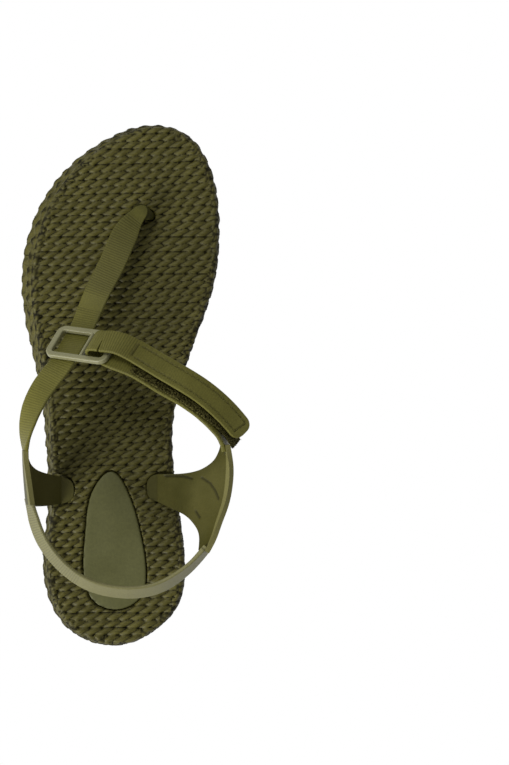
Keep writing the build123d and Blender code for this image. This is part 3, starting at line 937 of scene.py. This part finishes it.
def wing(name, rows, levels, front, rear, tongue, grooves=()):
    """A moulded wing: a wall between two edges in side view, folded into a flat tongue."""
    wall = wing_wall(rows, levels, front, rear)
    flat = []
    for angle in np.linspace(0.05, 1, 12)[:-1] * pi / 2:
        x = tongue[0] + (wall[0, :, 0] - tongue[0]) * (1 - cos(angle))
        y = tongue[1] + (wall[0, :, 1] - tongue[1]) * sin(angle) ** 0.75
        flat.append(np.stack([x, y, np.full(WING_ACROSS, TONGUE_LEVEL)], -1))
    sheet = np.concatenate([np.array(flat), wall])
    index = np.arange(len(sheet) * WING_ACROSS).reshape(-1, WING_ACROSS)
    quads = np.stack([index[:-1, :-1], index[:-1, 1:], index[1:, 1:], index[1:, :-1]], -1)
    obj = make_object(name, sheet.reshape(-1, 3), quads.reshape(-1, 4).tolist())
    bevel = {"width": 0.7 * MM, "segments": 3, "limit_method": "ANGLE", "angle_limit": radians(50)}
    applied(obj, ("SMOOTH", {"factor": 0.4, "iterations": 1}),
            ("SOLIDIFY", {"thickness": WING_THICKNESS * MM, "offset": 0.0}),
            ("BEVEL", bevel),
            ("SUBSURF", {"levels": 1}))
    outward(obj)
    obj.data.shade_smooth()
    heights = np.array([vertex.co.z for vertex in obj.data.vertices]) / MM
    # the lighter strip along the top, minus the painted shade pressed into the grooves
    paint(obj, "relief", smoothstep(*WING_STRIP, heights) - groove(obj, grooves))
    return obj


def groove(obj, lines, width=0.55, depth=0.5):
    """Presses narrow lines, given in plan, into the upward side; says how far each point went."""
    pressed = np.zeros(len(obj.data.vertices))
    for line in lines:
        line = along(line, 60)
        for vertex in obj.data.vertices:
            if vertex.normal.z > 0.1:
                gap = np.hypot(line[:, 0] - vertex.co.x / MM, line[:, 1] - vertex.co.y / MM).min()
                if gap < 2 * width:
                    share = float(np.exp(-(gap / width) ** 2))
                    vertex.co -= vertex.normal * depth * MM * share
                    pressed[vertex.index] = share
    return pressed


def medial_wing():
    levels = [23.0, 31, 41, 51, 58, 65.5]
    rows = [
        (-24, [11.5, 21, 33, 43.4, 44.2, 44.8]),
        (-33, [11.5, 20, 31, 41.6, 44.6, 46.7]),
        (-40, [11.5, 19, 29, 38.3, 43.4, 48.1]),
        (-48, [11.5, 19, 28, 37.0, 42.6, 47.8]),
        (-58, [11.5, 18.5, 27.5, 35.8, 41.0, 45.6]),
        (-66, [11.5, 18, 26.5, 34.0, 38.8, 42.4]),
        (-74, [11.5, 18, 26, 32.9, 36.8, 39.2]),
        (-82, [11.5, 17, 24.5, 31.6, 33.6, 34.6]),
    ]
    front = [
        [(-44.0, 23.0), (-43.4, 38), (-41.5, 47), (-38.2, 50.6)],
        [(-38.2, 50.6), (-36, 51.4), (-28.8, 51.5)],
        [(-28.8, 51.5), (-28.8, 64.5)],
    ]
    rear = [
        [(-57.4, 23.0), (-60.2, 31), (-63.8, 41), (-69.5, 48.5)],
        [(-69.5, 48.5), (-73, 50.6), (-80, 51.9)],
        [(-80, 51.9), (-80, 64.1)],
    ]
    grooves = [
        [(33, -45), (37, -47.5), (39.5, -51), (41, -54.5)],
        [(30, -61.2), (31.8, -63.8)],
        [(15, -44.8), (24, -44.6), (28, -45.6)],
    ]
    return wing("medial_side_wing", rows, levels, front, rear, (5.7, -50.5), grooves)


def lateral_wing():
    levels = [23.0, 31, 40, 49, 57, 65.5]
    rows = [
        (-26, [-36.5, -43.5, -48.6, -51.3, -51.5, -50.4]),
        (-36, [-36.5, -43.2, -48.3, -51.0, -51.4, -49.9]),
        (-46, [-36.5, -42.9, -47.8, -50.5, -50.8, -48.4]),
        (-54, [-36.5, -42.6, -47.2, -49.8, -50.1, -47.2]),
        (-62, [-36.5, -42.2, -46.5, -49.0, -49.3, -46.0]),
    ]
    front = [
        [(-45.4, 23.0), (-43.6, 31), (-41.5, 40), (-38.5, 46.5)],
        [(-38.5, 46.5), (-35, 50.5), (-31.6, 51.5)],
        [(-31.6, 51.5), (-31.6, 64.5)],
    ]
    rear = [
        [(-58.4, 23.0), (-59.4, 34), (-58.9, 44)],
        [(-58.9, 44), (-58.2, 48), (-57.4, 51.5)],
        [(-57.4, 51.5), (-57.4, 64.5)],
    ]
    return wing("lateral_side_wing", rows, levels, front, rear, (-29.8, -51.8))


# ---------------------------------------------------------------- tapes and thread
def fibres(name, frames, width, up, count, length, thick, curl, seed):
    """Short bent hairs standing on a strip, each a thin three-sided tube."""
    rng = np.random.default_rng(seed)
    points, faces = [], []
    ring = np.linspace(0, 2 * pi, 3, endpoint=False)
    for _ in range(count):
        i = rng.integers(0, len(frames.middle))
        side = rng.uniform(-0.5, 0.5) * width
        root = frames.middle[i] + frames.across[i] * side + frames.up[i] * up
        lean = frames.across[i] * rng.normal(0, 0.7) + frames.ahead[i] * rng.normal(0, 0.7)
        grow = frames.up[i] * np.sign(up) * 1.0 + lean
        reach = length * rng.uniform(0.5, 1.2)
        bend = unit(rng.normal(size=3)) * curl
        first = len(points)
        for k in range(5):
            t = k / 4
            middle = root + grow * reach * t * (1 - 0.45 * curl * t) + bend * reach * sin(pi * t)
            size = thick * (1 - 0.5 * t)
            for a in ring:
                points.append(middle + size * (cos(a) * frames.across[i] + sin(a) * frames.ahead[i]))
        for face in tube_faces(5, 3):
            faces.append([first + v for v in face])
    return make_object(name, points, faces)


def loop_frames():
    start = route_frames(instep_route(), 400).part(92, 240).moved(0, STRAP_THICKNESS / 2 + 0.55 + TAPE_GAP)
    last = start.middle[-1]
    free_end = route_frames([
        (*last, -31),
        (36.9, -13.3, 61.4, -39),
        (42.9, -18.9, 59.4, -50),
        (47.1, -24.3, 58.4, -57),
        (49.6, -28.7, 57.4, -62),
    ])
    return start.joined(free_end.part(20, None)).even(0.45)


def loop_tape():
    frames = loop_frames()
    base = strap("base", frames, TAPE_WIDTH, 1.0, ribs=0.0, across_count=25)
    mesh = base.data
    for vertex in mesh.vertices:
        place = vertex.co / MM
        vertex.co += vertex.normal * noise.noise(place * 1.3) * 0.22 * MM
    pile = fibres("pile", frames, 10.6, 0.45, 2600, 0.45, 0.075, 0.75, 21)
    return joined("loop_pile", base, pile)


def hook_tape():
    under = -(STRAP_THICKNESS / 2 + 0.45 + TAPE_GAP)
    frames = route_frames(flap_route(), 400).part(110, 380).moved(0, under).even(0.6)
    base = strap("base", frames, TAPE_WIDTH, 0.7, ribs=0.0)
    hooks = fibres("hooks", frames, 10.0, -0.3, 1500, 0.32, 0.07, 0.35, 22)
    return joined("hook_pile", base, hooks)


def thread_stitch(frames, at, across, up, turn=0.0, length=2.1, radius=0.27):
    """One stitch: a short bowed thread that dives into the strap at both ends."""
    i = int(np.clip(np.searchsorted(frames.run, at), 0, len(frames.run) - 1))
    ahead = frames.ahead[i] * cos(radians(turn)) + frames.across[i] * sin(radians(turn))
    side = np.cross(frames.up[i], ahead)
    middle = frames.middle[i] + frames.across[i] * across + frames.up[i] * up
    rings = []
    angle = np.linspace(0, 2 * pi, THREAD_SIDES, endpoint=False)
    for t in np.linspace(-1, 1, THREAD_RINGS):
        size = radius * max(0.25, (1 - abs(t) ** 3) ** 0.5)
        centre = middle + ahead * t * length / 2 - frames.up[i] * 0.28 * t * t
        rings.append(centre + size * (np.outer(np.cos(angle), side) + np.outer(np.sin(angle), frames.up[i])))
    return np.vstack(rings)


def stitches(name, places):
    """One mesh from the rings of many stitches."""
    points, faces = [], []
    for rings in places:
        first = len(points)
        points.extend(rings)
        for face in tube_faces(THREAD_RINGS, THREAD_SIDES):
            faces.append([first + v for v in face])
    return outward(make_object(name, points, faces))


def stitch_row(frames, start, end, across, up):
    """Stitches between two shares of a strap's length."""
    length = frames.run[-1]
    count = round(length * (end - start) / STITCH_PITCH)
    return [thread_stitch(frames, length * (start + (end - start) * i / count), across, up)
            for i in range(count + 1)]


def flap_stitching():
    frames = route_frames(flap_route(), STITCH_STOPS)
    up = STRAP_THICKNESS / 2 - 0.02
    end = CLOSING_AT / FLAP_LENGTH - 0.012
    places = []
    for side in (STITCH_SIDE, -STITCH_SIDE):
        places += stitch_row(frames, STITCHING_FROM, end, side, up)
    for share in (-0.66, 0.0, 0.66):
        across = share * STITCH_SIDE
        places.append(thread_stitch(frames, CLOSING_AT + 0.15 * across, across, up, 82))
    return stitches("flap_thread", places)


def bar_tack():
    frames = route_frames(flap_route(), STITCH_STOPS)
    at = frames.run[-1] * BAR_TACK_SHARE
    spread = [STITCH_SIDE - 2 * STITCH_SIDE * i / 12 for i in range(13)]
    places = [thread_stitch(frames, at, across, ON_RIBS, 12, 1.9, 0.3) for across in spread]
    return stitches("bar_tack_thread", places)


def loop_stitching():
    frames = route_frames(instep_route(), STITCH_STOPS)
    return stitches("loop_thread", stitch_row(frames, 0.22, 0.9, -5.8, ON_RIBS))


# ---------------------------------------------------------------- materials
def linear(red, green, blue):
    """A display colour, 0 to 255, as the renderer's linear values."""
    shares = [c / 255 for c in (red, green, blue)]
    values = [c / 12.92 if c <= 0.04045 else ((c + 0.055) / 1.055) ** 2.4 for c in shares]
    return (*values, 1.0)


class Shader:
    """A Principled material whose colour and bump come from procedural noise."""

    def __init__(self, name, roughness, specular):
        self.material = bpy.data.materials.new(name)
        self.material.use_nodes = True
        self.tree = self.material.node_tree
        self.principled = self.tree.nodes["Principled BSDF"]
        self.principled.inputs["Roughness"].default_value = roughness
        self.principled.inputs["Specular IOR Level"].default_value = specular
        self.coordinates = self.node("ShaderNodeTexCoord").outputs["Object"]

    def node(self, kind, **settings):
        made = self.tree.nodes.new(kind)
        for key, value in settings.items():
            setattr(made, key, value)
        return made

    def painted(self, name):
        """What paint() stored on the mesh."""
        return self.node("ShaderNodeAttribute", attribute_name=name).outputs["Fac"]

    def link(self, source, target):
        self.tree.links.new(source, target)

    def placed(self, scale=(1, 1, 1), turn=0.0):
        mapping = self.node("ShaderNodeMapping")
        mapping.inputs["Scale"].default_value = scale
        mapping.inputs["Rotation"].default_value = (0, 0, radians(turn))
        self.link(self.coordinates, mapping.inputs["Vector"])
        return mapping.outputs["Vector"]

    def noise(self, scale, detail=3.0, vector=None):
        made = self.node("ShaderNodeTexNoise")
        made.inputs["Scale"].default_value = scale
        made.inputs["Detail"].default_value = detail
        made.inputs["Roughness"].default_value = 0.55
        self.link(vector or self.coordinates, made.inputs["Vector"])
        return made.outputs["Fac"]

    def ranged(self, value, low, high, to_low, to_high):
        made = self.node("ShaderNodeMapRange")
        for key, number in zip(("From Min", "From Max", "To Min", "To Max"), (low, high, to_low, to_high)):
            made.inputs[key].default_value = number
        self.link(value, made.inputs["Value"])
        return made.outputs["Result"]

    def mixed(self, share, first, second, blend="MIX"):
        made = self.node("ShaderNodeMix", data_type="RGBA", blend_type=blend)
        if isinstance(share, float):
            made.inputs["Factor"].default_value = share
        else:
            self.link(share, made.inputs["Factor"])
        for socket, colour in ((made.inputs[6], first), (made.inputs[7], second)):
            if isinstance(colour, tuple):
                socket.default_value = colour
            else:
                self.link(colour, socket)
        return made.outputs[2]

    def spotted(self, dark, light, scale=38, detail=4):
        """Two colours in broad soft spots; gives the spots too."""
        spots = self.noise(scale, detail)
        return self.mixed(self.ranged(spots, 0.35, 0.65, 0.0, 1.0), linear(*dark), linear(*light)), spots

    def shaded(self, colour, value, low, high, least, most):
        """The colour times a number that goes from least to most as value goes from low to high."""
        share = self.ranged(value, low, high, least, most)
        made = self.node("ShaderNodeCombineColor")
        for channel in ("Red", "Green", "Blue"):
            self.link(share, made.inputs[channel])
        return self.mixed(1.0, colour, made.outputs["Color"], "MULTIPLY")

    def bump(self, height, distance, strength=1.0):
        made = self.node("ShaderNodeBump")
        made.inputs["Distance"].default_value = distance * MM
        made.inputs["Strength"].default_value = strength
        self.link(height, made.inputs["Height"])
        return made.outputs["Normal"]

    def finish(self, colour, normal=None, rough=None):
        self.link(colour, self.principled.inputs["Base Color"])
        if normal:
            self.link(normal, self.principled.inputs["Normal"])
        if rough:
            self.link(rough, self.principled.inputs["Roughness"])
        return self.material


def rope_material():
    """Painted shade, dark in the creases and pits and light on the crests, with fine fibres along the
    strands.
    """
    s = Shader("rope_rubber", 0.5, 0.16)
    relief = s.painted("relief")
    fibre = s.noise(1000, 4, s.placed((0.35, 1.6, 0.6), 32))
    blotch = s.noise(45, 3)
    # painted shade: near black in the creases and pits, lighter on the crests
    colour = s.mixed(s.ranged(relief, 0.1, 0.9, 0.0, 1.0), linear(12, 10, 0), linear(77, 73, 31))
    colour = s.mixed(s.ranged(blotch, 0.35, 0.65, 0.0, 0.35), colour, linear(48, 45, 14))
    colour = s.shaded(colour, fibre, 0.35, 0.65, 0.72, 1.12)
    return s.finish(colour, s.bump(fibre, 0.25, 0.6), s.ranged(relief, 0.1, 0.75, 0.9, 0.48))


def rubber_material(name, light, dark, roughness, grain=900, bump=0.05, specular=0.35):
    s = Shader(name, roughness, specular)
    colour, spots = s.spotted(dark, light)
    fine = s.noise(grain, 3)
    colour = s.shaded(colour, fine, 0.3, 0.7, 0.9, 1.1)
    return s.finish(colour, s.bump(fine, bump), s.ranged(spots, 0.3, 0.7, roughness - 0.05, roughness + 0.06))


def wing_material():
    """Olive, lighter in a strip along the top, with painted shade in the grooves."""
    s = Shader("wing_rubber", 0.48, 0.16)
    colour, spots = s.spotted((54, 52, 17), (66, 63, 26))
    fine = s.noise(1100, 3)
    relief = s.painted("relief")
    colour = s.mixed(s.ranged(relief, 0.0, 1.0, 0.0, 0.6), colour, linear(112, 108, 66))
    # painted shade: darker in the pressed grooves
    colour = s.shaded(colour, relief, -1.0, 0.0, 0.4, 1.0)
    colour = s.shaded(colour, fine, 0.3, 0.7, 0.92, 1.08)
    return s.finish(colour, s.bump(fine, 0.04), s.ranged(spots, 0.3, 0.7, 0.42, 0.55))


def webbing_material(name, light, dark, specular):
    """Painted shade darkens it between the ribs and in the stitch lines, and painted light makes it lighter
    where the front strap runs on from the buckle.
    """
    s = Shader(name, 0.5, specular)
    colour, spots = s.spotted(dark, light, 30, 3)
    weave = s.noise(1500, 3, s.placed())
    colour = s.shaded(colour, weave, 0.3, 0.7, 0.85, 1.15)
    # painted shade: darker between the ribs and in the stitch lines
    colour = s.shaded(colour, s.painted("relief"), 0.2, 0.9, 0.66, 1.0)
    # painted light: a lit copy of the colour, mixed in on the front strap from the buckle on
    lighter = s.mixed(1.0, colour, (1.7, 1.7, 1.75, 1.0), "MULTIPLY")
    colour = s.mixed(s.painted("painted_light"), colour, lighter)
    return s.finish(colour, s.bump(weave, 0.08), s.ranged(spots, 0.3, 0.7, 0.45, 0.58))


def pile_material(name, light, dark):
    s = Shader(name, 0.9, 0.05)
    speck = s.noise(1300, 2)
    colour = s.mixed(s.ranged(speck, 0.42, 0.62, 0.0, 1.0), linear(*dark), linear(*light))
    return s.finish(colour, s.bump(speck, 0.2))


# ---------------------------------------------------------------- the scene
SENSOR = 36
CAMERA_PLACE = (0.0583, 0.0007, 1.6)
VIEW_HEIGHT = 0.3749  # of the view at the forefoot's level, in metres
FLOOR_HALF = 3.0


def camera():
    """Straight above, with a long lens; the sandal stands in the left half of the view."""
    data = bpy.data.cameras.new("camera")
    data.sensor_width = SENSOR
    data.lens = SENSOR * (CAMERA_PLACE[2] - FOREFOOT_TOP * MM) / VIEW_HEIGHT
    obj = bpy.data.objects.new("camera", data)
    obj.location = CAMERA_PLACE
    bpy.context.scene.collection.objects.link(obj)
    bpy.context.scene.camera = obj


def area_light(name, place, target, size, power):
    data = bpy.data.lights.new(name, "AREA")
    data.size = size
    data.energy = power
    obj = bpy.data.objects.new(name, data)
    obj.location = place
    obj.rotation_euler = (Vector(target) - Vector(place)).to_track_quat("-Z", "Y").to_euler()
    bpy.context.scene.collection.objects.link(obj)


def lights():
    world = bpy.data.worlds.new("world")
    world.use_nodes = True
    background = world.node_tree.nodes["Background"]
    background.inputs["Color"].default_value = (1, 1, 1, 1)
    background.inputs["Strength"].default_value = 0.42
    bpy.context.scene.world = world
    area_light("key", (-0.95, -0.75, 0.65), (0, 0, 0.02), 0.6, 23.0)
    area_light("top", (-0.4, 0.8, 1.1), (0, 0, 0.02), 0.5, 9.0)
    bpy.context.scene.view_settings.view_transform = "Standard"


def floor():
    """A white floor, on which the sandal casts no shadow."""
    mesh = bpy.data.meshes.new("floor")
    corners = [(-1, -1), (1, -1), (1, 1), (-1, 1)]
    mesh.from_pydata([(x * FLOOR_HALF, y * FLOOR_HALF, 0) for x, y in corners], [], [(0, 1, 2, 3)])
    obj = bpy.data.objects.new("floor", mesh)
    bpy.context.scene.collection.objects.link(obj)
    material = bpy.data.materials.new("white_floor")
    material.use_nodes = True
    principled = material.node_tree.nodes["Principled BSDF"]
    principled.inputs["Base Color"].default_value = (0, 0, 0, 1)
    principled.inputs["Specular IOR Level"].default_value = 0.0
    principled.inputs["Emission Color"].default_value = (1, 1, 1, 1)
    principled.inputs["Emission Strength"].default_value = 1.0
    mesh.materials.append(material)


def dress(obj, material):
    obj.data.materials.clear()
    obj.data.materials.append(material)


def place(obj, material, slot, *nodes, body="root"):
    """Gives a piece its material and body, and hides the CAD nodes that it stands for; the slot is not used.
    """
    dress(obj, material)
    if body:
        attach(obj, body)
    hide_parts(*nodes)
    return obj


def build():
    webbing = webbing_material("strap_rubber", (76, 73, 30), (64, 62, 22), 0.14)
    flap_webbing = webbing_material("flap_rubber", (96, 93, 42), (82, 79, 31), 0.14)
    heel_webbing = webbing_material("heel_strap_rubber", (102, 99, 62), (93, 90, 52), 0.3)
    wing_rubber = wing_material()
    thread = rubber_material("thread", (86, 83, 40), (66, 63, 24), 0.7, 2500, 0.1, 0.15)
    plate = rubber_material("plate_rubber", (76, 76, 42), (68, 68, 34), 0.55, 900, 0.05, 0.25)
    place(footbed_mesh(), rope_material(), "rope_footbed", "footbed")
    place(heel_plate(), plate, "insert", "heel_insert")
    place(medial_wing(), wing_rubber, "wing_rubber", "medial_wing")
    place(lateral_wing(), wing_rubber, "wing_rubber", "lateral_wing")
    place(front_strap(), webbing, "ribbed_strap", "front_strap")
    place(instep_strap(), flap_webbing, "ribbed_strap", "instep_strap")
    place(flap(), flap_webbing, "ribbed_strap", "instep_flap", body="flap")
    bend = place(fold(), flap_webbing, "ribbed_strap", body=None)
    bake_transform(bend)
    heel = place(heel_strap(), heel_webbing, "ribbed_strap", "heel_strap", body=None)
    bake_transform(heel)
    loops = pile_material("loop_pile", (84, 80, 44), (24, 22, 3))
    hooks = pile_material("hook_pile", (70, 68, 36), (40, 38, 16))
    place(loop_tape(), loops, "loop_pile", "loop_tape")
    place(hook_tape(), hooks, "hook_pile", "hook_tape", body="flap")
    place(loop_stitching(), thread, "thread", "loop_stitching")
    place(flap_stitching(), thread, "thread", "flap_stitching", body="flap")
    place(bar_tack(), thread, "thread", "bar_tack", body="flap")
    dress(bpy.data.objects["outsole"], rubber_material("outsole_rubber", (62, 60, 34), (50, 48, 24), 0.6))
    dress(bpy.data.objects["buckle_frame"],
          rubber_material("buckle_plastic", (122, 120, 88), (108, 106, 74), 0.42, 1400, 0.03, 0.4))


camera()
lights()
floor()
build()
